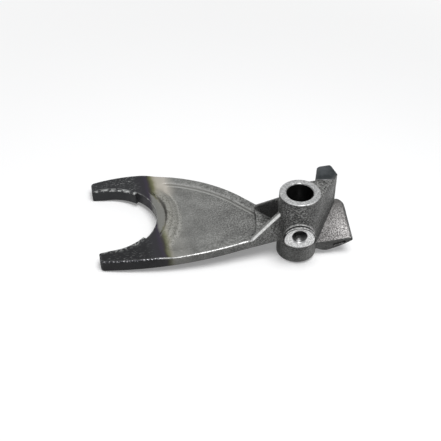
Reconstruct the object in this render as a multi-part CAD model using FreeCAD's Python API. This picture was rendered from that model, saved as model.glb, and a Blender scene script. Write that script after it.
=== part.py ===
import FreeCAD, Part
import math
import os

V = FreeCAD.Vector

# A forged steel shift fork for a heavy gearbox, one piece, in millimetres.
# +Z runs up the bore that slides on the shift rail, and the origin is on that bore at the hub's foot.
# The fork reaches out along -X, and the selector bracket stands on the +X side of the hub.

# hub and its bore for a three quarter inch rail
BORE_RADIUS = 9.525
BORE_CHAMFER = 0.8
HUB_RADIUS = 14.65
HUB_HEIGHT = 55.3
HUB_CHAMFER = 0.6

# fork mouth, which straddles the groove of a sliding collar
MOUTH_X = -135.0
MOUTH_Y = 35.0
PAD_RADIUS = 33.4
PAD_RELIEF = 2.5
PAD_END_ANGLE = 46.5
MOUTH_LEAD = 1.2
TIP_REACH = 9.7
TIP_ROUND = 3.0

# fork plate seen from above
NEAR_TIP_Y = -8.6
NEAR_BEND_X = -45.6
NEAR_BEND_Y = -9.8
NEAR_ROOT_Y = -3.6
NEAR_EDGE_RADIUS = 257.0
FAR_TIP_Y = 80.5
FAR_BEND_X = -34.5
FAR_BEND_Y = 44.6
FAR_EDGE_RADIUS = 110.0

# heights of the fork plate
PLATE_BOTTOM = 15.9
FINGER_TOP = 24.9
RIM_TOP = 23.3
RAMP_START_X = -108.0
RAMP_LENGTH = 20.0
PLATE_ROUND = 1.3

# crowned shoulder round the throat, left standing where the fingers were faced
LEDGE_WIDTH = 7.2
SHOULDER_TOP = 27.0
SHOULDER_FLAT = 4.6
SHOULDER_SLOPE_RUN = 6.0
SHOULDER_CROWN = 150.0
SHOULDER_HALF_ANGLE = 52.0

# pocket that lightens the web
POCKET_FLOOR = 20.4
RIM_WIDTH = 8.0
POCKET_REACH = 109.5
POCKET_ROUND = 1.4
POCKET_CORNER = 5.0

# gusset ribs from the web up to the hub
NEAR_RIB_TOP = 41.7
NEAR_RIB_RUN = 21.0
FAR_RIB_TOP = 44.6
FAR_RIB_RUN = 24.0
RIB_THICKNESS = 5.0
RIB_ROUND = 1.8
ROOT_ROUND = 2.0

# boss in the side of the hub for the lock screw
SCREW_ANGLE = 12.0
SCREW_HEIGHT = 29.4
SCREW_RADIUS = 5.1
SCREW_CHAMFER = 1.1
BOSS_FACE = 18.8
BOSS_RADIUS = 10.75
BOSS_MIDDLE = 27.15
BOSS_CORNER = 24.4
BOSS_FOOT = 19.6
BOSS_DRAFT = 1.2
BOSS_LIP = 0.6

# selector bracket: a table level with the hub's shoulder, ending in a tongue
BRACKET_TOP = 51.5
TABLE_THICKNESS = 14.0
WALL_ANGLE = 50.5
WALL_LENGTH = 35.5
WALL_THICKNESS = 9.0
TABLE_ROUND = 2.0
TONGUE_ROOT_X = 15.9
TONGUE_END_Y = 29.6
TONGUE_LEFT_X = 21.9
TONGUE_RIGHT_X = 32.4
TONGUE_LEFT_ROUND = 4.0
TONGUE_RIGHT_ROUND = 1.8
TONGUE_PAD_START = 27.5
TONGUE_PAD_RISE = 0.8
TONGUE_CHAMFER = 0.7

# slotted arm at the foot of the bracket's wall, sloping down towards the lock screw's side
ARM_SLOPE = 29.0
ARM_EDGE_X = 41.6
ARM_FRONT_Y = -7.6
ARM_FRONT_Z = 9.9
ARM_FAR_Y = 21.9
ARM_FACE_TILT = 8.0
ARM_LIP = 2.6
ARM_BELLY_X = 32.3
ARM_BELLY_DROP = 7.4
ARM_KEEL_X = 22.8
ARM_KEEL_DROP = 10.0
ARM_THROAT_X = 18.6
ARM_THROAT_DROP = 9.0
ARM_NECK_X = 14.5
ARM_NECK_DROP = 6.3
ARM_CORNER_ROUND = 6.5
ARM_ROUND = 1.2
SLOT_X = 31.6
SLOT_DROP = 4.2
SLOT_LENGTH = 10.0
SLOT_WIDTH = 3.0
SLOT_DEPTH = 8.0
SLOT_TURN = 8.0

# reach of a cutting body past the face that it opens
PAST = 1.0


def polygon(points):
    """A flat face through the points, in order."""
    return Part.Face(Part.makePolygon(points + [points[0]]))


def upright(face, bottom, top):
    """A solid that stands over a face drawn at height zero."""
    lowered = face.copy()
    lowered.translate(V(0, 0, bottom))
    return lowered.extrude(V(0, 0, top - bottom))


def bowed_edge(start, end, radius):
    """An arc of this radius from start to end, bowed to the right of the way it runs."""
    chord = end - start
    rise = radius - math.sqrt(radius ** 2 - (chord.Length / 2) ** 2)
    rightward = V(chord.y, -chord.x, 0).normalize()
    return Part.Arc(start, (start + end) * 0.5 + rightward * rise, end).toShape()


def turned(profile, axis_x, axis_y, start_angle, sweep):
    """A solid turned about a vertical axis from a profile of radius and height pairs."""
    points = [V(radius, 0, height) for radius, height in profile]
    face = polygon(points)
    face.rotate(V(0, 0, 0), V(0, 0, 1), start_angle)
    face.translate(V(axis_x, axis_y, 0))
    return face.revolve(V(axis_x, axis_y, 0), V(0, 0, 1), sweep)


def middle_of(edge):
    """The point half way along an edge."""
    return edge.valueAt((edge.FirstParameter + edge.LastParameter) / 2)


def edges_where(solid, test):
    """The edges of a solid that pass a test of the edge and its middle point."""
    return [edge for edge in solid.Edges if test(edge, middle_of(edge))]


def hub():
    """The round body on the rail, with its two rims broken."""
    profile = [
        (0, 0),
        (HUB_RADIUS - HUB_CHAMFER, 0),
        (HUB_RADIUS, HUB_CHAMFER),
        (HUB_RADIUS, HUB_HEIGHT - HUB_CHAMFER),
        (HUB_RADIUS - HUB_CHAMFER, HUB_HEIGHT),
        (0, HUB_HEIGHT),
    ]
    return turned(profile, 0, 0, 0, 360)


def bore():
    """The rail's bore, opened at both ends."""
    wide = BORE_RADIUS + BORE_CHAMFER + PAST
    reach = BORE_CHAMFER + PAST
    profile = [
        (0, -PAST),
        (wide, -PAST),
        (BORE_RADIUS, reach - PAST),
        (BORE_RADIUS, HUB_HEIGHT + PAST - reach),
        (wide, HUB_HEIGHT + PAST),
        (0, HUB_HEIGHT + PAST),
    ]
    return turned(profile, 0, 0, 0, 360)


def near_line():
    """The straight run of the near flank: from its root inside the hub to its bend."""
    return V(0, NEAR_ROOT_Y, 0), V(NEAR_BEND_X, NEAR_BEND_Y, 0)


def far_line():
    """The straight run of the far flank: from the bore's axis to its bend."""
    return V(0, 0, 0), V(FAR_BEND_X, FAR_BEND_Y, 0)


def plate_outline():
    """The fork plate's outer edge: two bowed flanks that draw in to the hub, and the line of the tips."""
    tip_x = MOUTH_X - TIP_REACH
    near_tip = V(tip_x, NEAR_TIP_Y, 0)
    far_tip = V(tip_x, FAR_TIP_Y, 0)
    near_root, near_bend = near_line()
    far_root, far_bend = far_line()
    return Part.Face(Part.Wire([
        bowed_edge(near_tip, near_bend, NEAR_EDGE_RADIUS),
        Part.makeLine(near_bend, near_root),
        Part.makeLine(near_root, far_root),
        Part.makeLine(far_root, far_bend),
        bowed_edge(far_bend, far_tip, FAR_EDGE_RADIUS),
        Part.makeLine(far_tip, near_tip),
    ]))


def plate_slab(outline):
    """The plate before its mouth is cut: thick fingers that fall in a smooth sweep to the thinner web."""
    box = outline.BoundBox
    tip_x = box.XMin - PAST
    root_x = box.XMax + PAST
    half_ramp = V(RAMP_LENGTH / 2, 0, 0)
    ramp_start = V(RAMP_START_X, 0, FINGER_TOP)
    ramp_end = V(RAMP_START_X + RAMP_LENGTH, 0, RIM_TOP)
    ramp = Part.BezierCurve()
    ramp.setPoles([ramp_start, ramp_start + half_ramp, ramp_end - half_ramp, ramp_end])
    side = Part.Face(Part.Wire([
        Part.makeLine(V(tip_x, 0, PLATE_BOTTOM), V(tip_x, 0, FINGER_TOP)),
        Part.makeLine(V(tip_x, 0, FINGER_TOP), ramp_start),
        ramp.toShape(),
        Part.makeLine(ramp_end, V(root_x, 0, RIM_TOP)),
        Part.makeLine(V(root_x, 0, RIM_TOP), V(root_x, 0, PLATE_BOTTOM)),
        Part.makeLine(V(root_x, 0, PLATE_BOTTOM), V(tip_x, 0, PLATE_BOTTOM)),
    ]))
    side.translate(V(0, box.YMin - PAST, 0))
    profile = side.extrude(V(0, box.YLength + 2 * PAST, 0))
    slab = upright(outline, PLATE_BOTTOM, FINGER_TOP + PAST).common(profile)
    tips = edges_where(slab, lambda edge, middle: edge.BoundBox.ZLength > 1 and middle.x < MOUTH_X)
    slab = slab.makeFillet(TIP_ROUND, tips)
    rims = edges_where(slab, lambda edge, middle: edge.BoundBox.XLength > TIP_ROUND / 2)
    return slab.makeFillet(PLATE_ROUND, rims)


def mouth():
    """The opening of the fork: pads near the tips, and a wider throat behind them."""
    tall = (PLATE_BOTTOM - PAST, SHOULDER_TOP + PAST)
    centre = V(MOUTH_X, MOUTH_Y, tall[0])
    height = tall[1] - tall[0]
    pads = Part.makeCylinder(PAD_RADIUS, height, centre)
    throat = Part.makeCylinder(PAD_RADIUS + PAD_RELIEF, height, centre, V(0, 0, 1), 2 * PAD_END_ANGLE)
    throat.rotate(centre, V(0, 0, 1), -PAD_END_ANGLE)
    end_x = MOUTH_X - TIP_REACH - PAST
    entry = upright(polygon([
        V(MOUTH_X, MOUTH_Y - PAD_RADIUS, 0),
        V(MOUTH_X, MOUTH_Y + PAD_RADIUS, 0),
        V(end_x, MOUTH_Y + PAD_RADIUS + MOUTH_LEAD, 0),
        V(end_x, MOUTH_Y - PAD_RADIUS - MOUTH_LEAD, 0),
    ]), tall[0], tall[1])
    return pads.fuse([throat, entry])


def shoulder(outline):
    """The raised band behind the throat: flat, then sloping to the pocket, and crowned across the fork."""
    inner = PAD_RADIUS + PAD_RELIEF + LEDGE_WIDTH
    crest = inner + SHOULDER_FLAT
    profile = [
        (inner, PLATE_BOTTOM),
        (crest + SHOULDER_SLOPE_RUN, PLATE_BOTTOM),
        (crest + SHOULDER_SLOPE_RUN, POCKET_FLOOR),
        (crest, SHOULDER_TOP),
        (inner, SHOULDER_TOP),
    ]
    band = turned(profile, MOUTH_X, MOUTH_Y, -SHOULDER_HALF_ANGLE, 2 * SHOULDER_HALF_ANGLE)
    reach = crest + SHOULDER_SLOPE_RUN
    crown = Part.makeCylinder(
        SHOULDER_CROWN, reach, V(MOUTH_X, MOUTH_Y, SHOULDER_TOP - SHOULDER_CROWN), V(1, 0, 0))
    return band.common(crown).common(upright(outline, PLATE_BOTTOM, SHOULDER_TOP))


def pocket_plan(outline, throat_radius, height):
    """The pocket cut across at this height: inside the rim, short of the hub, with rounded corners."""
    centre = V(MOUTH_X, MOUTH_Y, 0)
    throat = Part.Face(Part.Wire(Part.makeCircle(throat_radius, centre)))
    reach = Part.Face(Part.Wire(Part.makeCircle(POCKET_REACH, centre)))
    plan = outline.makeOffset2D(-RIM_WIDTH).common(reach).cut(throat)
    plan = max(plan.Faces, key=lambda face: face.Area)
    plan = plan.makeOffset2D(-POCKET_CORNER).makeOffset2D(POCKET_CORNER)
    plan.translate(V(0, 0, height))
    return plan.Faces[0].OuterWire


def pocket(outline):
    """The hollow in the web, sloped up to the shoulder's crest on its throat side."""
    crest = PAD_RADIUS + PAD_RELIEF + LEDGE_WIDTH + SHOULDER_FLAT
    floor = pocket_plan(outline, crest + SHOULDER_SLOPE_RUN, POCKET_FLOOR)
    mouth_line = pocket_plan(outline, crest, SHOULDER_TOP)
    hollow = Part.makeLoft([floor, mouth_line], True, True)
    foot = edges_where(hollow, lambda edge, middle: edge.BoundBox.ZMax < POCKET_FLOOR + PAST / 2)
    return hollow.makeFillet(POCKET_ROUND, foot)


def fork_plate():
    """The fork plate with its pocket, its shoulder and its mouth."""
    outline = plate_outline()
    plate = plate_slab(outline).cut(pocket(outline))
    return plate.fuse(shoulder(outline)).cut(mouth())


def rib(start, end, inner_side, top, run):
    """A gusset over the rim from start, inside the hub, out towards end, falling to the web."""
    along = (end - start).normalize()
    across = V(-along.y, along.x, 0) * inner_side
    at_hub = HUB_RADIUS + start.dot(along)
    middle = (PLATE_BOTTOM + RIM_TOP) / 2
    corners = [(0, middle), (at_hub + run, middle), (at_hub + run, RIM_TOP), (at_hub, top), (0, top)]
    face = polygon([start + along * reach + V(0, 0, height) for reach, height in corners])
    web = face.extrude(across * RIB_THICKNESS)
    crest = edges_where(web, lambda edge, middle: edge.BoundBox.ZLength > 1 and edge.Length > run)
    return web.makeFillet(RIB_ROUND, crest)


def fork_on_hub():
    """The hub, the fork plate and both ribs in one, with the inner corner between them blended."""
    near_rib = rib(*near_line(), -1, NEAR_RIB_TOP, NEAR_RIB_RUN)
    far_rib = rib(*far_line(), 1, FAR_RIB_TOP, FAR_RIB_RUN)
    body = hub().fuse([fork_plate(), near_rib, far_rib])
    corner = edges_where(body, lambda edge, middle: abs(middle.x + HUB_RADIUS) < PAST
                         and -PAST < middle.y < RIB_THICKNESS and POCKET_FLOOR < middle.z < NEAR_RIB_TOP)
    return body.makeFillet(ROOT_ROUND, corner)


def screw_direction():
    """Straight out of the hub along the lock screw's hole."""
    angle = math.radians(SCREW_ANGLE)
    return V(-math.sin(angle), -math.cos(angle), 0)


def boss_outline(distance, growth):
    """The lock screw boss cut across at this distance from the bore's axis, grown by its draft."""
    outward = screw_direction()
    aside = V(-outward.y, outward.x, 0)
    radius = BOSS_RADIUS + growth
    half_width = math.sqrt(BOSS_RADIUS ** 2 - (BOSS_MIDDLE - BOSS_CORNER) ** 2) + growth
    left = outward * distance - aside * half_width + V(0, 0, BOSS_CORNER)
    right = outward * distance + aside * half_width + V(0, 0, BOSS_CORNER)
    top = outward * distance + V(0, 0, BOSS_MIDDLE + radius)
    foot = outward * distance + V(0, 0, BOSS_FOOT - growth)
    return Part.Wire([Part.Arc(left, top, right).toShape(), Part.Arc(right, foot, left).toShape()])


def screw_boss():
    """A drafted boss whose face is milled flat for the lock screw, a little below the forged skin."""
    root = BORE_RADIUS + BORE_CHAMFER
    outer = BOSS_FACE + BOSS_LIP
    boss = Part.makeLoft([boss_outline(root, BOSS_DRAFT), boss_outline(outer, BOSS_LIP)], True)
    outward = screw_direction()
    centre = outward * BOSS_FACE + V(0, 0, BOSS_MIDDLE)
    cutter = Part.makeCylinder(BOSS_RADIUS, BOSS_FACE, centre, outward)
    return boss.cut(cutter)


def screw_hole():
    """The tapped hole from the boss's face through to the bore, with a countersunk mouth."""
    outward = screw_direction()
    base = V(0, 0, SCREW_HEIGHT)
    hole = Part.makeCylinder(SCREW_RADIUS, BOSS_FACE + PAST, base, outward)
    sink = SCREW_CHAMFER + PAST
    mouth_cone = Part.makeCone(
        SCREW_RADIUS, SCREW_RADIUS + sink, sink, base + outward * (BOSS_FACE - SCREW_CHAMFER), outward)
    return hole.fuse(mouth_cone)


def wall_frame():
    """The wall's direction away from the hub, and the way its open face looks."""
    angle = math.radians(WALL_ANGLE)
    return V(math.cos(angle), math.sin(angle), 0), V(math.sin(angle), -math.cos(angle), 0)


def corner_edges(solid, corner):
    """The upright edges of a solid that stand over a corner of its plan."""
    return edges_where(
        solid, lambda edge, middle: math.hypot(middle.x - corner.x, middle.y - corner.y) < PAST / 2)


def table():
    """The bracket's top: a thick table that leaves the hub and ends in a tongue with a raised pad."""
    along, outward = wall_frame()
    tangent = outward * HUB_RADIUS
    pad_start = tangent + along * TONGUE_PAD_START
    tongue_root = V(TONGUE_ROOT_X, HUB_RADIUS, 0)
    left = V(TONGUE_LEFT_X, TONGUE_END_Y, 0)
    right = V(TONGUE_RIGHT_X, TONGUE_END_Y, 0)
    wall_end = tangent + along * WALL_LENGTH
    plan = polygon([V(0, 0, 0), tangent, wall_end, right, left, tongue_root, V(0, HUB_RADIUS, 0)])
    block = upright(plan, BRACKET_TOP - TABLE_THICKNESS, BRACKET_TOP + TONGUE_PAD_RISE)
    block = block.makeFillet(TONGUE_LEFT_ROUND, corner_edges(block, left))
    block = block.makeFillet(TONGUE_RIGHT_ROUND, corner_edges(block, right))
    rim = edges_where(
        block, lambda edge, middle: edge.BoundBox.ZMin > BRACKET_TOP and middle.y > HUB_RADIUS + PAST)
    block = block.makeChamfer(TONGUE_CHAMFER, rim)
    lowered = polygon([
        tongue_root,
        pad_start,
        pad_start + outward * HUB_RADIUS,
        outward * HUB_RADIUS * 2,
        along * -HUB_RADIUS,
        tongue_root + V(-HUB_HEIGHT, PAST, 0),
    ])
    block = block.cut(upright(lowered, BRACKET_TOP, BRACKET_TOP + TONGUE_PAD_RISE + PAST))
    brow = edges_where(block, lambda edge, middle: abs(middle.z - BRACKET_TOP) < PAST / 10
                       and abs(middle.dot(outward) - HUB_RADIUS) < PAST / 10)
    return block.makeFillet(TABLE_ROUND, brow)


def arm_frame():
    """The arm's upper front edge on x zero, the way the arm rises, and the way down its front face."""
    slope = math.radians(ARM_SLOPE)
    tilt = math.radians(ARM_FACE_TILT)
    front = V(0, ARM_FRONT_Y, ARM_FRONT_Z)
    return front, V(0, math.cos(slope), math.sin(slope)), V(0, math.sin(tilt), -math.cos(tilt))


def on_arm_face(x, drop):
    """A point on the arm's front face, by its x and its drop below the upper edge."""
    front, rise, down = arm_frame()
    return front + V(x, 0, 0) + down * drop


def arm_bar():
    """The sloping bar whose section is the arm's front face: flat on top, keeled underneath."""
    front, rise, down = arm_frame()
    inner_top = on_arm_face(0, 0)
    outer_top = on_arm_face(ARM_EDGE_X, 0)
    lip = on_arm_face(ARM_EDGE_X, ARM_LIP)
    belly = on_arm_face(ARM_BELLY_X, ARM_BELLY_DROP)
    keel = on_arm_face(ARM_KEEL_X, ARM_KEEL_DROP)
    throat = on_arm_face(ARM_THROAT_X, ARM_THROAT_DROP)
    neck = on_arm_face(ARM_NECK_X, ARM_NECK_DROP)
    inner_foot = on_arm_face(0, ARM_NECK_DROP)
    section = Part.Wire([
        Part.makeLine(inner_top, outer_top),
        Part.makeLine(outer_top, lip),
        Part.Arc(lip, belly, keel).toShape(),
        Part.Arc(keel, throat, neck).toShape(),
        Part.makeLine(neck, inner_foot),
        Part.makeLine(inner_foot, inner_top),
    ])
    return Part.Face(section).extrude(rise * 2 * (ARM_FAR_Y - ARM_FRONT_Y))


def arm():
    """The sloping arm, cut to its plan: against the wall's back, and rounded at its far corner."""
    along, outward = wall_frame()
    back = outward * (HUB_RADIUS - WALL_THICKNESS)
    far_corner = V(ARM_EDGE_X, ARM_FAR_Y, 0)
    back_corner = back + along * ((ARM_FAR_Y - back.y) / along.y)
    plan = polygon([
        V(0, back.y, 0),
        V(0, -HUB_HEIGHT, 0),
        V(ARM_EDGE_X, -HUB_HEIGHT, 0),
        far_corner,
        back_corner,
        back,
    ])
    block = upright(plan, -HUB_HEIGHT, HUB_HEIGHT)
    block = block.makeFillet(ARM_CORNER_ROUND, corner_edges(block, far_corner))
    bar = arm_bar().common(block)
    front, rise, down = arm_frame()
    upward = V(1, 0, 0).cross(rise)
    brow = edges_where(bar, lambda edge, middle: abs((middle - front).dot(upward)) < PAST / 20
                       and middle.dot(outward) > HUB_RADIUS - WALL_THICKNESS + PAST)
    return bar.makeFillet(ARM_ROUND, brow)


def wall():
    """The upright wall between the table and the arm, its open face at a tangent to the hub."""
    along, outward = wall_frame()
    front, rise, down = arm_frame()
    tangent = outward * HUB_RADIUS
    back = outward * (HUB_RADIUS - WALL_THICKNESS)
    plan = polygon([back, tangent, tangent + along * WALL_LENGTH, back + along * WALL_LENGTH])
    inside_arm = front + down * ARM_LIP
    side = polygon([
        inside_arm - rise * HUB_HEIGHT,
        inside_arm + rise * HUB_HEIGHT,
        inside_arm + rise * HUB_HEIGHT + V(0, 0, HUB_HEIGHT),
        inside_arm - rise * HUB_HEIGHT + V(0, 0, 2 * HUB_HEIGHT),
    ])
    above_arm = side.extrude(V(2 * WALL_LENGTH, 0, 0))
    return upright(plan, 0, BRACKET_TOP - TABLE_THICKNESS / 2).common(above_arm)


def arm_slot():
    """The blind oblong slot in the arm's front face, following the slope of the arm."""
    front, rise, down = arm_frame()
    turn = math.radians(SLOT_TURN)
    length_way = V(math.cos(turn), 0, 0) - down * math.sin(turn)
    width_way = V(math.sin(turn), 0, 0) + down * math.cos(turn)
    middle = on_arm_face(SLOT_X, SLOT_DROP)
    half = length_way * (SLOT_LENGTH / 2)
    straight = length_way * ((SLOT_LENGTH - SLOT_WIDTH) / 2)
    side = width_way * (SLOT_WIDTH / 2)
    section = Part.Wire([
        Part.makeLine(middle - straight - side, middle + straight - side),
        Part.Arc(middle + straight - side, middle + half, middle + straight + side).toShape(),
        Part.makeLine(middle + straight + side, middle - straight + side),
        Part.Arc(middle - straight + side, middle - half, middle - straight - side).toShape(),
    ])
    opening = Part.Face(section)
    opening.translate(rise * -PAST)
    return opening.extrude(rise * (SLOT_DEPTH + PAST))


def shift_fork():
    """The whole forging, then its machined holes."""
    forging = fork_on_hub().fuse([screw_boss(), table(), wall(), arm()])
    machined = forging.cut([bore(), screw_hole(), arm_slot()])
    return machined.removeSplitter()


fork = shift_fork()
os.makedirs("parts", exist_ok=True)
fork.exportStep("parts/shift_fork.step")
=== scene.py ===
import math

import bpy
from mathutils import Matrix, Vector


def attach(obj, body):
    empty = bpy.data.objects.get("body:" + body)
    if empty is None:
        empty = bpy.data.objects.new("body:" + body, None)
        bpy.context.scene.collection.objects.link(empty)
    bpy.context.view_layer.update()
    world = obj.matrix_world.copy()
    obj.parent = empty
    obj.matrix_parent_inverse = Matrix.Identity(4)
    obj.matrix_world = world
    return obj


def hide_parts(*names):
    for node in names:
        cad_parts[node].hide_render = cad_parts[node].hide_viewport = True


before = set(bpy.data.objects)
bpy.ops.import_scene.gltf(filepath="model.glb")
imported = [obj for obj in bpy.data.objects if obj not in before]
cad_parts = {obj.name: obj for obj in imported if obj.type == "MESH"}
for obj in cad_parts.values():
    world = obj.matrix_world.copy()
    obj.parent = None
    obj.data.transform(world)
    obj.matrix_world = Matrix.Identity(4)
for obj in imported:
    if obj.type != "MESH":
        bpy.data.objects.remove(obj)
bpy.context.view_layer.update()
bpy.context.scene.view_settings.view_transform = "Standard"

# Grain of a shot-blasted forging, for every steel surface of the fork.
# It gives a fine speckle, slow blotches, bright flecks and a height, all in the piece's own coordinates.

BLOTCH_SCALE = 85.0
FLECK_SCALE = 800.0
PIT_SCALE = 780.0


def feed(socket, value):
    """Give a socket another node's output, or a plain number or colour."""
    if isinstance(value, bpy.types.NodeSocket):
        socket.id_data.links.new(value, socket)
    else:
        socket.default_value = value


def fade(tree, value, start=0.0, end=1.0, low=0.0, high=1.0):
    """A value that goes from low to high while another goes from start to end."""
    node = tree.nodes.new("ShaderNodeMapRange")
    names = ("Value", "From Min", "From Max", "To Min", "To Max")
    for name, amount in zip(names, (value, start, end, low, high)):
        feed(node.inputs[name], amount)
    return node.outputs["Result"]


def reckon(tree, operation, *values):
    """A sum worked out on one, two or three values."""
    node = tree.nodes.new("ShaderNodeMath")
    node.operation = operation
    for socket, value in zip(node.inputs, values):
        feed(socket, value)
    return node.outputs["Value"]


def cloud(tree, place, scale, detail, roughness=0.5):
    """Soft irregular patches, as a value around a half."""
    node = tree.nodes.new("ShaderNodeTexNoise")
    for name, amount in (("Vector", place), ("Scale", scale), ("Detail", detail), ("Roughness", roughness)):
        feed(node.inputs[name], amount)
    return node.outputs["Fac"]


grain_group = bpy.data.node_groups.new("blasted_grain", "ShaderNodeTree")
grain_group.interface.new_socket("Speckle Scale", in_out="INPUT", socket_type="NodeSocketFloat")
for name in ("Speckle", "Blotch", "Fleck", "Height"):
    grain_group.interface.new_socket(name, in_out="OUTPUT", socket_type="NodeSocketFloat")
grain_in = grain_group.nodes.new("NodeGroupInput").outputs
grain_out = grain_group.nodes.new("NodeGroupOutput").inputs
place = grain_group.nodes.new("ShaderNodeTexCoord").outputs["Object"]
speckle = cloud(grain_group, place, grain_in["Speckle Scale"], detail=2.0, roughness=0.65)
blotch = cloud(grain_group, place, BLOTCH_SCALE, detail=4.0, roughness=0.6)
fleck = cloud(grain_group, place, FLECK_SCALE, detail=1.0)
pits = grain_group.nodes.new("ShaderNodeTexVoronoi")
pits.inputs["Scale"].default_value = PIT_SCALE
feed(pits.inputs["Vector"], place)
feed(grain_out["Speckle"], fade(grain_group, speckle, 0.38, 0.63))
feed(grain_out["Blotch"], fade(grain_group, blotch, 0.35, 0.65))
feed(grain_out["Fleck"], fade(grain_group, fleck, 0.52, 0.60))
feed(grain_out["Height"], reckon(grain_group, "MULTIPLY_ADD", pits.outputs["Distance"], 0.6, speckle))


def grained(tree, speckle_scale):
    """The blasted grain placed in a finish, with its own fineness."""
    node = tree.nodes.new("ShaderNodeGroup")
    node.node_tree = grain_group
    node.inputs["Speckle Scale"].default_value = speckle_scale
    return node.outputs


# Rubbed edges with a painted highlight, and painted shade in sheltered corners, for the forged skin, the
# milled faces and the hardened pad.
# Edge is one on outer corners that look up and to the near side: wear where the piece is handled and
# tipped, and a painted highlight where those rounds face the lamp and the camera.
# Corner is painted shade in inner corners, and Under is painted shade on all that looks down.

HIGHLIGHT_FACING = (-0.27, -0.5, 0.82)
SOFT_EDGE = 0.0012


def gauge(tree, operation, place, other=(0.0, 0.0, 0.0)):
    """How far a place lies from a point, or how far it goes along a direction."""
    node = tree.nodes.new("ShaderNodeVectorMath")
    node.operation = operation
    feed(node.inputs[0], place)
    feed(node.inputs[1], other)
    return node.outputs["Value"]


def axes(tree, place):
    """The X, Y and Z of a place or a direction."""
    node = tree.nodes.new("ShaderNodeSeparateXYZ")
    feed(node.inputs["Vector"], place)
    return node.outputs


def shelter(tree, reach, inside):
    """How much stands close around a point, looking into the steel or out of it."""
    node = tree.nodes.new("ShaderNodeAmbientOcclusion")
    node.inside = inside
    node.only_local = True
    node.samples = 8
    feed(node.inputs["Distance"], reach)
    return node.outputs["AO"]


def softened(tree):
    """The surface's direction with its edges rounded over."""
    node = tree.nodes.new("ShaderNodeBevel")
    node.samples = 6
    node.inputs["Radius"].default_value = SOFT_EDGE
    return node.outputs["Normal"]


edge_group = bpy.data.node_groups.new("edges_and_corners", "ShaderNodeTree")
for name in ("Edge Reach", "Corner Reach"):
    edge_group.interface.new_socket(name, in_out="INPUT", socket_type="NodeSocketFloat")
for name in ("Edge", "Corner", "Under"):
    edge_group.interface.new_socket(name, in_out="OUTPUT", socket_type="NodeSocketFloat")
edge_in = edge_group.nodes.new("NodeGroupInput").outputs
edge_out = edge_group.nodes.new("NodeGroupOutput").inputs
rounded = softened(edge_group)
on_edge = fade(edge_group, shelter(edge_group, edge_in["Edge Reach"], inside=True), 0.95, 0.72)
# Painted highlight: only the edges that look up and to the near side, towards the lamp and the camera.
highlight_facing = fade(edge_group, gauge(edge_group, "DOT_PRODUCT", rounded, HIGHLIGHT_FACING), 0.8, 0.93)
# Painted shade in inner corners; below it, painted shade on all that looks down.
corner_shade = fade(edge_group, shelter(edge_group, edge_in["Corner Reach"], inside=False), 0.92, 0.35)
feed(edge_out["Edge"], reckon(edge_group, "MULTIPLY", on_edge, highlight_facing))
feed(edge_out["Corner"], corner_shade)
feed(edge_out["Under"], fade(edge_group, axes(edge_group, rounded)["Z"], -0.12, -0.4))


def edged(tree, edge_reach, corner_reach):
    """The edges and corners placed in a finish, with their own reach."""
    node = tree.nodes.new("ShaderNodeGroup")
    node.node_tree = edge_group
    node.inputs["Edge Reach"].default_value = edge_reach
    node.inputs["Corner Reach"].default_value = corner_reach
    return node.outputs


# The forging: the whole fork in one piece of alloy steel, drop forged and shot blasted.
# Its finger ends and the pad on its tongue are hardened and dark, and a temper band ends the fingers.
# Its shape is the solid's own mesh, merged and smoothed, and its machined faces are picked out by place.

MERGE_WITHIN = 1e-6
SHARP_FROM = math.radians(28)

bpy.ops.object.select_all(action="DESELECT")
forging = bpy.data.objects.new("forging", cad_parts["shift_fork"].data.copy())
bpy.context.scene.collection.objects.link(forging)
forging.data.materials.clear()
bpy.context.view_layer.objects.active = forging
forging.select_set(True)
bpy.ops.object.mode_set(mode="EDIT")
bpy.ops.mesh.select_all(action="SELECT")
bpy.ops.mesh.remove_doubles(threshold=MERGE_WITHIN)
bpy.ops.object.mode_set(mode="OBJECT")
bpy.ops.object.shade_smooth_by_angle(angle=SHARP_FROM)
weigh = forging.modifiers.new("weigh_normals", "WEIGHTED_NORMAL")
weigh.keep_sharp = True
bpy.ops.object.modifier_apply(modifier=weigh.name)

# Forged skin: smooth grey scale on the web, coarser and darker on the hub and the bracket.

DARK_SCALE = (0.035, 0.036, 0.034, 1)
PALE_SCALE = (0.33, 0.33, 0.32, 1)
BARE_FLECK = (0.66, 0.66, 0.64, 1)
LOW_GREY = (0.155, 0.156, 0.150, 1)
WEB_GREY = (0.218, 0.220, 0.209, 1)
SMOOTH_FROM_X = -0.09
COARSE_FROM_X = -0.012
STRUCK_PATCH = (-0.006, -0.0135, 0.0445)


def finish(name):
    """A new finish: its material, its nodes and its shader's sockets."""
    material = bpy.data.materials.new(name)
    material.use_nodes = True
    return material, material.node_tree, material.node_tree.nodes["Principled BSDF"].inputs


def blend(tree, part, under, over, mode="MIX"):
    """One colour laid over another by this part."""
    node = tree.nodes.new("ShaderNodeMix")
    node.data_type = "RGBA"
    node.blend_type = mode
    for name, value in (("Factor", part), ("A", under), ("B", over)):
        feed(node.inputs[name], value)
    return node.outputs["Result"]


skin, tree, shader = finish("forged_skin")
shader["Specular IOR Level"].default_value = 0.25
grain = grained(tree, 880.0)
edges = edged(tree, 0.0022, 0.012)
place = tree.nodes.new("ShaderNodeTexCoord").outputs
split = axes(tree, place["Object"])
surface = axes(tree, place["Normal"])

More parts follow.
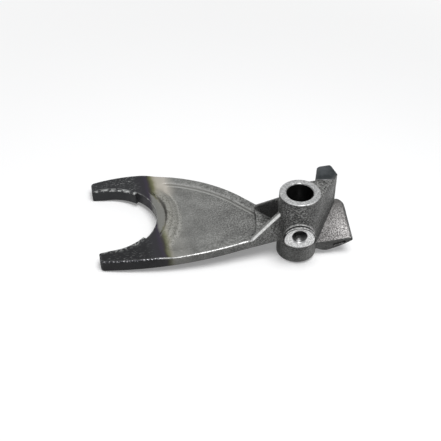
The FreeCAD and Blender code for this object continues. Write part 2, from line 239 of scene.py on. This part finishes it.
coarse = fade(tree, split["X"], SMOOTH_FROM_X, COARSE_FROM_X, low=0.18)
scale_skin = blend(tree, grain["Speckle"], DARK_SCALE, PALE_SCALE)
struck = gauge(tree, "DISTANCE", place["Object"], STRUCK_PATCH)
fleck_part = reckon(tree, "MULTIPLY", fade(tree, struck, 0.014, 0.007, low=0.05, high=0.9), grain["Fleck"])
flecked = blend(tree, fleck_part, scale_skin, BARE_FLECK)
low_part = fade(tree, split["Z"], 0.022, 0.010, high=0.6)
smoother_low = blend(tree, low_part, flecked, LOW_GREY)
plain = blend(tree, coarse, WEB_GREY, smoother_low)
clouded = blend(tree, 0.22, plain, grain["Blotch"], mode="OVERLAY")

# The pocket's far wall and its end get a painted highlight, a light line where they face the near side.

WALL_OUT = (-0.5, -0.86, 0)
WALL_PAINTED_LIGHT = (0.37, 0.37, 0.355, 1)

wall_looks = fade(tree, gauge(tree, "DOT_PRODUCT", place["Normal"], WALL_OUT), 0.12, 0.45)
wall_along = fade(tree, split["X"], -0.026, -0.030)
wall_across = fade(tree, split["Y"], 0.001, 0.004)
wall_under = fade(tree, split["Z"], 0.0236, 0.0230)
wall_stretch = reckon(tree, "MULTIPLY", wall_along, wall_under)
wall_behind = reckon(tree, "MULTIPLY", wall_stretch, wall_across)
pocket_wall_light = reckon(tree, "MULTIPLY", wall_looks, wall_behind)
skin_and_wall_light = blend(tree, pocket_wall_light, clouded, WALL_PAINTED_LIGHT)

# Crescent behind the throat: a smooth ledge, a dark line of painted shade at its step, then the crowned
# band with its drawn marks.

MOUTH_CENTRE = (-0.135, 0.035, 0.0)
LEDGE_REACH = 0.0358
BAND_REACH = 0.0568


def ramp(tree, value, stops):
    """Colours that follow a value, each stop a position and a colour with its strength."""
    node = tree.nodes.new("ShaderNodeValToRGB")
    while len(node.color_ramp.elements) < len(stops):
        node.color_ramp.elements.new(0.5)
    for element, (position, colour) in zip(node.color_ramp.elements, stops):
        element.position = position
        element.color = colour
    feed(node.inputs["Fac"], value)
    return node.outputs


flat_place = tree.nodes.new("ShaderNodeVectorMath")
flat_place.operation = "MULTIPLY"
flat_place.inputs[1].default_value = (1, 1, 0)
feed(flat_place.inputs[0], place["Object"])
from_mouth = gauge(tree, "DISTANCE", flat_place.outputs["Vector"], MOUTH_CENTRE)
drawn = cloud(tree, place["Object"], 330.0, detail=3.0)
ring_place = reckon(tree, "MULTIPLY_ADD", drawn, 0.0022, from_mouth)
far_end = fade(tree, split["Y"], 0.040, 0.070, high=-0.0035)
past_step = fade(tree, from_mouth, 0.045, 0.051)
ring_hook = reckon(tree, "MULTIPLY_ADD", far_end, past_step, ring_place)
ring_range = fade(tree, ring_hook, LEDGE_REACH, BAND_REACH)
ring = ramp(tree, ring_range, [
    (0.0, (0.21, 0.212, 0.20, 0.85)),
    (0.33, (0.24, 0.24, 0.225, 0.85)),
    # Painted shade: the dark line at the ledge's step.
    (0.375, (0.06, 0.06, 0.052, 0.95)),
    (0.41, (0.06, 0.06, 0.052, 0.95)),
    (0.45, (0.33, 0.33, 0.30, 0.9)),
    (0.55, (0.30, 0.30, 0.27, 0.9)),
    (0.60, (0.21, 0.21, 0.19, 0.9)),
    (0.66, (0.32, 0.32, 0.295, 0.9)),
    (0.79, (0.29, 0.29, 0.265, 0.9)),
    (0.86, (0.46, 0.46, 0.43, 0.9)),
    (0.92, (0.30, 0.30, 0.28, 0.6)),
    (0.99, (0.20, 0.20, 0.19, 0.0)),
])
drawn_pits = fade(tree, grain["Speckle"], 0.12, 0.42, low=0.42)
pitted_part = fade(tree, ring_range, 0.38, 0.46, low=0.15)
pitted = blend(tree, pitted_part, ring["Color"], drawn_pits, mode="MULTIPLY")
crescent = blend(tree, ring["Alpha"], skin_and_wall_light, pitted)

# Temper colours across the fork where the hardened fingers end: blue black, violet, straw, then pale.
# The pale part is strong only at the far flank, and the smooth ledge takes no more than the dark part.

DARK_TO_X = -0.1087
TEMPERED_TO_X = -0.0747

wander = cloud(tree, place["Object"], 120.0, detail=3.0)
wandered_x = reckon(tree, "MULTIPLY_ADD", wander, 0.0035, split["X"])
slanted = reckon(tree, "MULTIPLY_ADD", split["Y"], 0.025, wandered_x)
along = fade(tree, slanted, DARK_TO_X, TEMPERED_TO_X)
temper = ramp(tree, along, [
    (0.0, (0.036, 0.037, 0.039, 1)),
    (0.22, (0.036, 0.034, 0.040, 1)),
    (0.29, (0.044, 0.037, 0.054, 1)),
    (0.34, (0.050, 0.045, 0.042, 1)),
    (0.38, (0.095, 0.097, 0.050, 1)),
    (0.43, (0.18, 0.178, 0.100, 1)),
    (0.48, (0.36, 0.34, 0.27, 1)),
    (0.54, (0.46, 0.435, 0.375, 1)),
    (0.72, (0.50, 0.47, 0.42, 0.95)),
    (0.86, (0.40, 0.385, 0.35, 0.5)),
    (1.0, (0.25, 0.25, 0.24, 0.0)),
])
near_side = fade(tree, split["Y"], 0.066, 0.052, low=1.0, high=0.12)
off_ledge = fade(tree, ring_range, 0.30, 0.34, low=0.1)
pale_strength = reckon(tree, "MULTIPLY", near_side, off_ledge)
pale_part = fade(tree, along, 0.36, 0.54, low=1.0, high=pale_strength)
ledge_dark = fade(tree, along, 0.29, 0.35, low=1.0, high=0.0)
ledge_part = reckon(tree, "MAXIMUM", ledge_dark, off_ledge)
flat_strength = reckon(tree, "MULTIPLY", temper["Alpha"], pale_part)
temper_strength = reckon(tree, "MULTIPLY", flat_strength, ledge_part)
tempered = blend(tree, temper_strength, crescent, temper["Color"])

# Handling marks on the dark fingers: fine scratches on top, and chips along the pads' upper edges.

FINGER_ROOT_X = -0.106
FINGER_DARK_X = -0.112
SCRATCH_TURN = math.radians(-38)
SCRATCH_SCALE = (420, 1500, 800)
CHIPS_WITHIN = 0.0346
CHIPS_ABOVE = 0.0246
BARE_MARK = (0.52, 0.53, 0.52, 1)

streak_place = tree.nodes.new("ShaderNodeMapping")
streak_place.inputs["Rotation"].default_value = (0, 0, SCRATCH_TURN)
streak_place.inputs["Scale"].default_value = SCRATCH_SCALE
feed(streak_place.inputs["Vector"], place["Object"])
streaks = fade(tree, cloud(tree, streak_place.outputs["Vector"], 1.0, detail=2.0), 0.57, 0.75)
on_finger = fade(tree, split["X"], FINGER_ROOT_X, FINGER_DARK_X)
streak_patch = reckon(tree, "MULTIPLY", streaks, grain["Blotch"])
streak_mask = reckon(tree, "MULTIPLY", streak_patch, on_finger)
streak_top = reckon(tree, "MULTIPLY", streak_mask, fade(tree, surface["Z"], 0.5, 0.8))
chip_ring = fade(tree, from_mouth, 0.0368, CHIPS_WITHIN)
chip_top = fade(tree, split["Z"], 0.0238, CHIPS_ABOVE)
chip_band = reckon(tree, "MULTIPLY", chip_ring, chip_top)
chip_mask = reckon(tree, "MULTIPLY", chip_band, fade(tree, drawn, 0.46, 0.54))
mark_mask = reckon(tree, "MAXIMUM", streak_top, chip_mask)
marked = blend(tree, mark_mask, tempered, BARE_MARK)

# Darker patches over the skin: painted shade on the near flank where it looks to the near side, in the
# scoop under the far rib's crest and low on the bracket's wall; the top of the near finger, the boss's lip
# and the hub's front are made darker too.

SCREW_TURN = math.radians(12)
SCREW_OUT = Vector((-math.sin(SCREW_TURN), -math.cos(SCREW_TURN), 0))
SCOOP_MIDDLE = (-0.0185, 0.0150, 0.0310)
SHADE_AND_DARK = (0.012, 0.012, 0.013, 1)

# Painted shade on the near flank, on the faces that look to the near side.
flank_side = fade(tree, surface["Y"], -0.3, -0.9)
flank_place = fade(tree, split["Y"], 0.0, -0.004)
flank_part = fade(tree, split["X"], -0.102, -0.092, low=0.95, high=0.12)
flank_root = fade(tree, split["X"], -0.055, -0.035, low=1.0, high=0.0)
flank_shade_place = reckon(tree, "MULTIPLY", flank_side, flank_place)
flank_amount = reckon(tree, "MULTIPLY", flank_part, flank_root)
flank_shade = reckon(tree, "MULTIPLY", flank_shade_place, flank_amount)
finger_dark = reckon(tree, "MULTIPLY", fade(tree, split["Y"], 0.012, 0.0, high=0.58), on_finger)
lip_out = fade(tree, gauge(tree, "DOT_PRODUCT", place["Object"], SCREW_OUT), 0.0168, 0.0178, high=0.9)
lip_mask = reckon(tree, "MULTIPLY", lip_out, reckon(tree, "GREATER_THAN", split["X"], -0.0165))
# Painted shade in the scoop under the far rib's crest.
scoop_reach = fade(tree, gauge(tree, "DISTANCE", place["Object"], SCOOP_MIDDLE), 0.017, 0.010, high=0.85)
scoop_shade = reckon(tree, "MULTIPLY", scoop_reach, fade(tree, surface["X"], -0.3, -0.6))
# Painted shade low on the bracket's wall.
wall_part = fade(tree, split["X"], 0.008, 0.016, high=0.54)
bracket_wall_shade = reckon(tree, "MULTIPLY", wall_part, fade(tree, split["Z"], 0.040, 0.026))
hub_dark_and_wall_shade = reckon(tree, "MAXIMUM", fade(tree, struck, 0.022, 0.012, high=0.46), bracket_wall_shade)
flank_or_scoop_shade = reckon(tree, "MAXIMUM", flank_shade, scoop_shade)
finger_or_lip_dark = reckon(tree, "MAXIMUM", finger_dark, lip_mask)
shade_and_dark_elsewhere = reckon(tree, "MAXIMUM", flank_or_scoop_shade, hub_dark_and_wall_shade)
shade_and_dark_mask = reckon(tree, "MAXIMUM", finger_or_lip_dark, shade_and_dark_elsewhere)
shaded_and_darkened = blend(tree, shade_and_dark_mask, marked, SHADE_AND_DARK)

# Painted shade in sheltered corners, and rubbed edges with a painted highlight, go over all of it.
# What looks down gets painted shade too, the whole underside of the plate with it.

CORNER_SHADE = (0.03, 0.03, 0.027, 1)
RUBBED_EDGE_AND_HIGHLIGHT = (0.82, 0.82, 0.80, 1)
SKIN_DEPTH = 0.00025

corner_place = fade(tree, split["X"], -0.05, -0.025, low=0.1, high=0.5)
corner_shade_part = reckon(tree, "MULTIPLY", corner_place, edges["Corner"])
under_shade_part = reckon(tree, "MULTIPLY", edges["Under"], 0.7)
corner_shaded = blend(tree, reckon(tree, "MAXIMUM", corner_shade_part, under_shade_part), shaded_and_darkened, CORNER_SHADE)
# Rubbed edges, worn bright and with a painted highlight, strongest along the near edge.
rub_patches = fade(tree, grain["Speckle"], low=0.45)
off_finger = fade(tree, split["X"], -0.108, -0.097, low=0.35)
rub_place = reckon(tree, "MULTIPLY", rub_patches, off_finger)
near_edge = fade(tree, split["Y"], 0.004, -0.004, low=0.4)
edge_wear_and_highlight = reckon(tree, "MULTIPLY", edges["Edge"], near_edge)
wear_and_highlight = reckon(tree, "MULTIPLY", edge_wear_and_highlight, rub_place)
feed(shader["Base Color"], blend(tree, wear_and_highlight, corner_shaded, RUBBED_EDGE_AND_HIGHLIGHT))
feed(shader["Metallic"], fade(tree, wear_and_highlight, low=0.12))
dull = fade(tree, grain["Blotch"], low=0.6, high=0.44)
feed(shader["Roughness"], fade(tree, wear_and_highlight, low=dull, high=0.3))
bump = tree.nodes.new("ShaderNodeBump")
bump.inputs["Distance"].default_value = SKIN_DEPTH
feed(bump.inputs["Strength"], coarse)
feed(bump.inputs["Height"], grain["Height"])
feed(bump.inputs["Normal"], softened(tree))
feed(shader["Normal"], bump.outputs["Normal"])
forging.data.materials.append(skin)

# Milled steel: the hub's two ends and the lock screw's flat, with fine rings from the tool.
# They are bright; below the hub's top they are painted whiter, a painted reflection of the bright floor on
# the flat, and the hub's lower end, which looks down, gets painted shade and is nearly black.

FLAT_TOP = 0.045
END_STEEL = (0.76, 0.765, 0.76, 1)
FLAT_STEEL_AND_REFLECTION = (1.0, 1.0, 0.99, 1)
UNDER_SHADE = (0.02, 0.02, 0.02, 1)
TOOL_RINGS = 800.0
TOOL_DEPTH = 0.00005

milled, tree, shader = finish("milled_steel")
shader["Metallic"].default_value = 0.55
grain = grained(tree, 900.0)
edges = edged(tree, 0.001, 0.001)
place = tree.nodes.new("ShaderNodeTexCoord").outputs["Object"]
rings = tree.nodes.new("ShaderNodeTexWave")
rings.wave_type = "RINGS"
rings.rings_direction = "Z"
rings.inputs["Scale"].default_value = TOOL_RINGS
rings.inputs["Distortion"].default_value = 1.5
rings.inputs["Detail"].default_value = 2.0
feed(rings.inputs["Vector"], place)
on_flat = reckon(tree, "LESS_THAN", axes(tree, place)["Z"], FLAT_TOP)
bare = blend(tree, on_flat, END_STEEL, FLAT_STEEL_AND_REFLECTION)
speckled = blend(tree, 0.45, bare, grain["Speckle"], mode="MULTIPLY")
feed(shader["Base Color"], blend(tree, edges["Under"], speckled, UNDER_SHADE))
feed(shader["Roughness"], fade(tree, grain["Blotch"], low=0.34, high=0.48))
bump = tree.nodes.new("ShaderNodeBump")
bump.inputs["Strength"].default_value = 0.25
bump.inputs["Distance"].default_value = TOOL_DEPTH
feed(bump.inputs["Height"], rings.outputs["Fac"])
feed(shader["Normal"], bump.outputs["Normal"])
forging.data.materials.append(milled)

# The rail's bore: honed clean and oily, and nearly black, partly its oil and partly painted shade deep in
# the bore. The slot in the arm is as dark, as painted shade.

OIL_AND_SHADE_BLACK = (0.014, 0.014, 0.014, 1)
OIL_AND_SHADE_GREY = (0.04, 0.04, 0.04, 1)

oiled_and_shade, tree, shader = finish("oiled_bore_and_shade")
shader["Metallic"].default_value = 0.7
grain = grained(tree, 600.0)
feed(shader["Base Color"], blend(tree, grain["Blotch"], OIL_AND_SHADE_BLACK, OIL_AND_SHADE_GREY))
feed(shader["Roughness"], fade(tree, grain["Speckle"], low=0.28, high=0.45))
forging.data.materials.append(oiled_and_shade)

# The arm's flat upper face: blasted coarser than the rest and a little pink, and paler, partly from its
# blasting and partly painted light for the light its tilted face catches.
# It is painted darker towards its top, painted shade from the wall above it, and along its outer rim,
# painted shade on the rounded edge.

BLAST_DARK = (0.13, 0.123, 0.12, 1)
BLAST_PINK_AND_LIGHT = (0.72, 0.70, 0.69, 1)
TOP_SHADE = (0.08, 0.077, 0.074, 1)
RIM_SHADE = (0.03, 0.03, 0.03, 1)
BLAST_DEPTH = 0.0004

pale, tree, shader = finish("pale_blasted_face")
shader["Metallic"].default_value = 0.5
grain = grained(tree, 1150.0)
split = axes(tree, tree.nodes.new("ShaderNodeTexCoord").outputs["Object"])
pink = blend(tree, grain["Speckle"], BLAST_DARK, BLAST_PINK_AND_LIGHT)
top_shaded = blend(tree, fade(tree, split["Z"], 0.014, 0.024, high=0.92), pink, TOP_SHADE)
outer_rim_shade = fade(tree, split["X"], 0.0390, 0.0405, high=0.9)
feed(shader["Base Color"], blend(tree, outer_rim_shade, top_shaded, RIM_SHADE))
feed(shader["Roughness"], fade(tree, grain["Blotch"], low=0.48, high=0.66))
bump = tree.nodes.new("ShaderNodeBump")
bump.inputs["Strength"].default_value = 0.8
bump.inputs["Distance"].default_value = BLAST_DEPTH
feed(bump.inputs["Height"], grain["Height"])
feed(shader["Normal"], bump.outputs["Normal"])
forging.data.materials.append(pale)

# The tongue's raised pad: ground smooth, then hardened blue black. Its edges are lighter: worn, and a
# painted highlight where they look up and to the near side.

BLUE_BLACK = (0.038, 0.044, 0.047, 1)
BLUE_GREY = (0.105, 0.115, 0.122, 1)
PAD_EDGE_WEAR_AND_HIGHLIGHT = (0.20, 0.20, 0.20, 1)

hard, tree, shader = finish("hardened_pad")
shader["Metallic"].default_value = 0.5
grain = grained(tree, 700.0)
edges = edged(tree, 0.003, 0.004)
blue_black = blend(tree, grain["Blotch"], BLUE_BLACK, BLUE_GREY)
feed(shader["Base Color"], blend(tree, edges["Edge"], blue_black, PAD_EDGE_WEAR_AND_HIGHLIGHT))
feed(shader["Roughness"], fade(tree, grain["Speckle"], low=0.42, high=0.56))
forging.data.materials.append(hard)

# Rubbed steel: the trimmed near edge, the near rib's crest and the lock screw boss's crown, worn bright and
# carrying a painted highlight.
# The near edge is dimmer towards the fingers, where only scuffs show on the hardened steel.

RIB_START_X = -0.0375
RIB_FULL_X = -0.0345
EDGE_DULL = (0.24, 0.24, 0.235, 1)
EDGE_HIGHLIGHT = (0.93, 0.93, 0.92, 1)
EDGE_DIM = (0.10, 0.10, 0.095, 1)
SCUFF_DARK = (0.03, 0.03, 0.034, 1)
SCUFF_PALE = (0.30, 0.30, 0.31, 1)

rubbed_steel_and_highlight, tree, shader = finish("rubbed_steel_and_highlight")
grain = grained(tree, 700.0)
place = tree.nodes.new("ShaderNodeTexCoord").outputs["Object"]
split = axes(tree, place)
edge_highlight = blend(tree, grain["Speckle"], EDGE_DULL, EDGE_HIGHLIGHT)
scuffs = blend(tree, grain["Fleck"], SCUFF_DARK, SCUFF_PALE)
dimmer = fade(tree, split["X"], -0.062, -0.094, high=0.7)
dimmed = blend(tree, dimmer, edge_highlight, EDGE_DIM)
edge_run = blend(tree, fade(tree, split["X"], -0.097, -0.104), dimmed, scuffs)

# The rib's crest has a painted highlight along its near round; the boss's crown has an arc of painted
# highlight behind a dark arc of painted shadow.

ACROSS_RIB = (-0.135, 0.991, 0)
CORE_OFF = 0.0030
CREST_DULL = (0.27, 0.27, 0.26, 1)
CREST_HIGHLIGHT = (1.0, 1.0, 0.98, 1)
CROWN_IN = 0.0138
CROWN_OUT = 0.0188
BOSS_SIDE_X = -0.0150

# Painted highlight along the crest's near round.
off_core = reckon(tree, "ADD", gauge(tree, "DOT_PRODUCT", place, ACROSS_RIB), CORE_OFF)
core = fade(tree, reckon(tree, "ABSOLUTE", off_core), 0.0019, 0.0009)
crest = blend(tree, core, CREST_DULL, CREST_HIGHLIGHT)
crest_grain = blend(tree, 0.30, crest, grain["Speckle"], mode="MULTIPLY")
ribbed = blend(tree, fade(tree, split["X"], RIB_START_X, RIB_FULL_X), edge_run, crest_grain)
out_of_hub = fade(tree, gauge(tree, "DOT_PRODUCT", place, SCREW_OUT), CROWN_IN, CROWN_OUT)
# Along the crown: dull at the hub, an arc of painted highlight, a dark arc of painted shadow, then bright
# again at the flat's edge.
crown = ramp(tree, out_of_hub, [
    (0.0, (0.10, 0.10, 0.098, 1)),
    (0.22, (0.14, 0.14, 0.138, 1)),
    (0.36, (0.62, 0.62, 0.61, 1)),
    (0.54, (0.62, 0.62, 0.61, 1)),
    (0.62, (0.02, 0.02, 0.02, 1)),
    (0.84, (0.03, 0.03, 0.03, 1)),
    (0.93, (0.80, 0.80, 0.79, 1)),
])
crown_grain = blend(tree, 0.7, crown["Color"], grain["Speckle"], mode="MULTIPLY")
on_boss = reckon(tree, "GREATER_THAN", split["X"], BOSS_SIDE_X)
feed(shader["Base Color"], blend(tree, on_boss, ribbed, crown_grain))
feed(shader["Metallic"], fade(tree, split["X"], RIB_START_X, RIB_FULL_X, low=0.75, high=0.2))
feed(shader["Roughness"], fade(tree, grain["Blotch"], low=0.26, high=0.42))
forging.data.materials.append(rubbed_steel_and_highlight)

# The tapped hole with its countersink, and the thread in it: cut steel, dulled by oil and painted darker as
# shade inside the hole, while the countersink stays bright.

CUT_DARK = (0.11, 0.11, 0.11, 1)
CUT_PALE = (0.34, 0.34, 0.34, 1)
SINK_BRIGHT = (0.75, 0.75, 0.75, 1)
SINK_START = 0.01772
SINK_FULL = 0.01782

turned, tree, shader = finish("cut_thread")
shader["Metallic"].default_value = 0.85
grain = grained(tree, 1200.0)
place = tree.nodes.new("ShaderNodeTexCoord").outputs["Object"]
cut = blend(tree, grain["Blotch"], CUT_DARK, CUT_PALE)
sink = fade(tree, gauge(tree, "DOT_PRODUCT", place, SCREW_OUT), SINK_START, SINK_FULL)
feed(shader["Base Color"], blend(tree, sink, cut, SINK_BRIGHT))
feed(shader["Roughness"], fade(tree, grain["Speckle"], low=0.28, high=0.42))
forging.data.materials.append(turned)

# Each machined or rubbed face takes its own finish, picked by where it lies and which way it looks.
# The others keep the forged skin. A reach is a radius from its middle, in the script's metres.

MILLED, OILED_AND_SHADE, PALE, HARD, RUBBED_HIGHLIT, CUT = range(1, 7)
HAIR = 0.0001
HUB_TOP = 0.0553
HUB_FOOT = 0.0009
HUB_REACH = 0.0148
HUB_CHAMFER = 0.0008
BORE_REACH = 0.0097
SCREW_FACE = 0.0188
SCREW_HEIGHT = 0.0294
SINK_REACH = 0.0063
BOSS_REACH = 0.0125
BOSS_LIP = 0.0012
CROWN_START = 0.0140
CROWN_REACH = 0.0075
CROWN_FOOT = 0.030
PAD_TOP = 0.0523
PAD_ROUND = 0.0005
PAD_START_X = 0.015
ARM_SLOPE = math.radians(29)
ARM_FRONT = Vector((0, -0.0076, 0.0099))
ARM_UP = Vector((0, -math.sin(ARM_SLOPE), math.cos(ARM_SLOPE)))
ARM_SKIN = 0.0004
SLOT_MIDDLE = Vector((0.0316, -0.007, 0.0057))
SLOT_REACH = 0.0095
SLOT_HALF = 0.0055
SLOT_LIP = 0.0008
SLOT_FOOT = 0.003
SLOT_BELOW_ARM = 0.001
CREST_OUT = Vector(HIGHLIGHT_FACING)
CREST_END_X = -0.0135
CREST_END_Y = 0.0015
CREST_FOOT = 0.0225
CREST_TOP = 0.0435

for face in forging.data.polygons:
    middle = face.center
    looks = face.normal
    from_axis = math.hypot(middle.x, middle.y)
    out = middle.dot(SCREW_OUT)
    from_screw = math.hypot(middle.x * SCREW_OUT.y - middle.y * SCREW_OUT.x, middle.z - SCREW_HEIGHT)
    off_arm = abs((middle - ARM_FRONT).dot(ARM_UP))
    in_slot = (middle - SLOT_MIDDLE).length < SLOT_REACH and middle.y > ARM_FRONT.y + SLOT_LIP
    if from_axis < BORE_REACH:
        face.material_index = OILED_AND_SHADE
    elif from_screw < SINK_REACH and 0 < out < SCREW_FACE - HAIR:
        face.material_index = CUT
    elif from_axis < HUB_REACH and (middle.z > HUB_TOP - HUB_CHAMFER or middle.z < HUB_FOOT):
        face.material_index = MILLED
    elif looks.dot(SCREW_OUT) > 0.6 and out > SCREW_FACE - BOSS_LIP and from_screw < BOSS_REACH:
        if out < SCREW_FACE + HAIR / 2 and middle.z < FLAT_TOP:
            face.material_index = MILLED
    elif looks.dot(ARM_UP) > 0.98 and off_arm < ARM_SKIN:
        face.material_index = PALE
    elif middle.z > PAD_TOP - PAD_ROUND and middle.x > PAD_START_X:
        face.material_index = HARD
    # The slot's inside takes the near black, as painted shade.
    elif in_slot and middle.z > SLOT_FOOT:
        if abs(middle.x - SLOT_MIDDLE.x) < SLOT_HALF and off_arm > SLOT_BELOW_ARM:
            face.material_index = OILED_AND_SHADE
    # Near edge and rib crest faces that look towards the lamp and the camera take the rubbed steel with its
    # painted highlight.
    elif middle.x < CREST_END_X and middle.y < CREST_END_Y and CREST_FOOT < middle.z < CREST_TOP:
        if looks.dot(CREST_OUT) > 0.82 and looks.z < 0.985:
            face.material_index = RUBBED_HIGHLIT
    # The boss's crown takes it too, for its painted highlight and shadow arcs.
    elif out > CROWN_START and CROWN_REACH < from_screw < BOSS_REACH and middle.z > CROWN_FOOT:
        if looks.z > 0.25:
            face.material_index = RUBBED_HIGHLIT
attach(forging, "root")
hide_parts("shift_fork")

# The lock screw's thread: four turns of a fine sharp ridge standing out of the tapped hole's wall.
# In the real fork it is cut in the wall itself, so it has the same steel and the same oil, and here the
# same painted shade.

THREAD_RADIUS = 0.0051
THREAD_RIDGE = 0.00055
THREAD_PITCH = 0.00175
THREAD_TURNS = 4
STEPS_A_TURN = 40
THREAD_START = 0.0102

bpy.ops.object.select_all(action="DESELECT")
bpy.ops.mesh.primitive_circle_add(vertices=3, radius=THREAD_RIDGE, fill_type="NOTHING",
                                  location=(THREAD_RADIUS, 0, 0), rotation=(math.radians(90), 0, 0))
thread = bpy.context.object
thread.name = "lock_screw_thread"
bpy.ops.object.transform_apply(location=True, rotation=True, scale=True)
wind = thread.modifiers.new("wind", "SCREW")
wind.axis = "Z"
wind.iterations = THREAD_TURNS
wind.steps = STEPS_A_TURN
wind.render_steps = STEPS_A_TURN
wind.screw_offset = THREAD_PITCH
wind.use_merge_vertices = False
bpy.ops.object.modifier_apply(modifier=wind.name)
bpy.ops.object.mode_set(mode="EDIT")
bpy.ops.mesh.select_all(action="SELECT")
bpy.ops.mesh.fill_holes(sides=3)
bpy.ops.mesh.normals_make_consistent(inside=False)
bpy.ops.object.mode_set(mode="OBJECT")
thread.matrix_world = (
    Matrix.Translation(SCREW_OUT * THREAD_START + Vector((0, 0, SCREW_HEIGHT)))
    @ SCREW_OUT.to_track_quat("Z", "Y").to_matrix().to_4x4())
bpy.ops.object.transform_apply(location=True, rotation=True, scale=True)
bpy.ops.object.shade_smooth_by_angle(angle=math.radians(30))

thread.data.materials.append(turned)
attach(thread, "root")

# Plain studio: a pale floor under the resting fork, which lies on its hub's rim and its two fingertips.
# The floor looks bright, throws little light back at the steel, and fades to white far from the fork.

REST_TILT = math.radians(6.94)
REST_X = -0.01405
FLOOR_SIZE = 8
FLOOR_GAP = 0.0001
FLOOR_GREY = (0.25, 0.25, 0.25, 1)
FLOOR_PALE = (0.82, 0.82, 0.82, 1)
FLOOR_GLOW = 0.22
WHITE_FROM = 0.25
WHITE_BY = 0.7

bpy.ops.object.select_all(action="DESELECT")
bpy.ops.mesh.primitive_plane_add(size=FLOOR_SIZE, location=(REST_X, 0, -FLOOR_GAP),
                                 rotation=(0, REST_TILT, 0))
floor = bpy.context.object
floor.name = "floor"
paint, tree, shader = finish("pale_floor")
shader["Base Color"].default_value = FLOOR_GREY
shader["Roughness"].default_value = 0.9
bright = tree.nodes.new("ShaderNodeBsdfDiffuse")
bright.inputs["Color"].default_value = FLOOR_PALE
lift = tree.nodes.new("ShaderNodeEmission")
lift.inputs["Strength"].default_value = FLOOR_GLOW
lifted = tree.nodes.new("ShaderNodeAddShader")
feed(lifted.inputs[0], bright.outputs["BSDF"])
feed(lifted.inputs[1], lift.outputs["Emission"])
white = tree.nodes.new("ShaderNodeEmission")
white.inputs["Strength"].default_value = 1.0
from_fork = gauge(tree, "LENGTH", tree.nodes.new("ShaderNodeTexCoord").outputs["Object"])
fading = tree.nodes.new("ShaderNodeMixShader")
feed(fading.inputs["Fac"], fade(tree, from_fork, WHITE_FROM, WHITE_BY))
feed(fading.inputs[1], lifted.outputs["Shader"])
feed(fading.inputs[2], white.outputs["Emission"])
path = tree.nodes.new("ShaderNodeLightPath").outputs
choose = tree.nodes.new("ShaderNodeMixShader")
feed(choose.inputs["Fac"], reckon(tree, "MAXIMUM", path["Is Camera Ray"], path["Is Glossy Ray"]))
feed(choose.inputs[1], tree.nodes["Principled BSDF"].outputs["BSDF"])
feed(choose.inputs[2], fading.outputs["Shader"])
feed(tree.nodes["Material Output"].inputs["Surface"], choose.outputs["Shader"])
floor.data.materials.append(paint)

# Even pale light from all round, white where the camera sees past the floor, and one broad lamp overhead.

world = bpy.data.worlds.new("studio")
bpy.context.scene.world = world
world.use_nodes = True
tree = world.node_tree
around = tree.nodes["Background"]
around.inputs["Color"].default_value = (0.97, 0.98, 1.0, 1)
around.inputs["Strength"].default_value = 0.3
behind = tree.nodes.new("ShaderNodeBackground")
behind.inputs["Color"].default_value = (1, 1, 1, 1)
behind.inputs["Strength"].default_value = 1.0
choose = tree.nodes.new("ShaderNodeMixShader")
feed(choose.inputs["Fac"], tree.nodes.new("ShaderNodeLightPath").outputs["Is Camera Ray"])
feed(choose.inputs[1], around.outputs["Background"])
feed(choose.inputs[2], behind.outputs["Background"])
feed(tree.nodes["World Output"].inputs["Surface"], choose.outputs["Shader"])

LAMP_PLACE = Vector((0.1, -0.25, 1.05))
LAMP_AIM = Vector((-0.05, 0.03, 0.0))
LAMP_SIZE = 0.6
LAMP_POWER = 9.8

lamp_data = bpy.data.lights.new("overhead", "AREA")
lamp_data.size = LAMP_SIZE
lamp_data.energy = LAMP_POWER
lamp = bpy.data.objects.new("overhead", lamp_data)
bpy.context.scene.collection.objects.link(lamp)
lamp.location = LAMP_PLACE
lamp.rotation_euler = (LAMP_AIM - LAMP_PLACE).to_track_quat("-Z", "Y").to_euler()

# The camera looks down over the near edge, from in front of the fork and a little to its left.

camera_data = bpy.data.cameras.new("camera")
camera_data.lens = 59.07
camera_data.sensor_width = 36
camera_data.shift_x = 0.0008
camera = bpy.data.objects.new("camera", camera_data)
bpy.context.scene.collection.objects.link(camera)
camera.matrix_world = Matrix((
    (0.9791, 0.1448, -0.1428, -0.13059),
    (-0.2030, 0.6522, -0.7303, -0.37326),
    (-0.0126, 0.7441, 0.6680, 0.38114),
    (0, 0, 0, 1),
))
bpy.context.scene.camera = camera
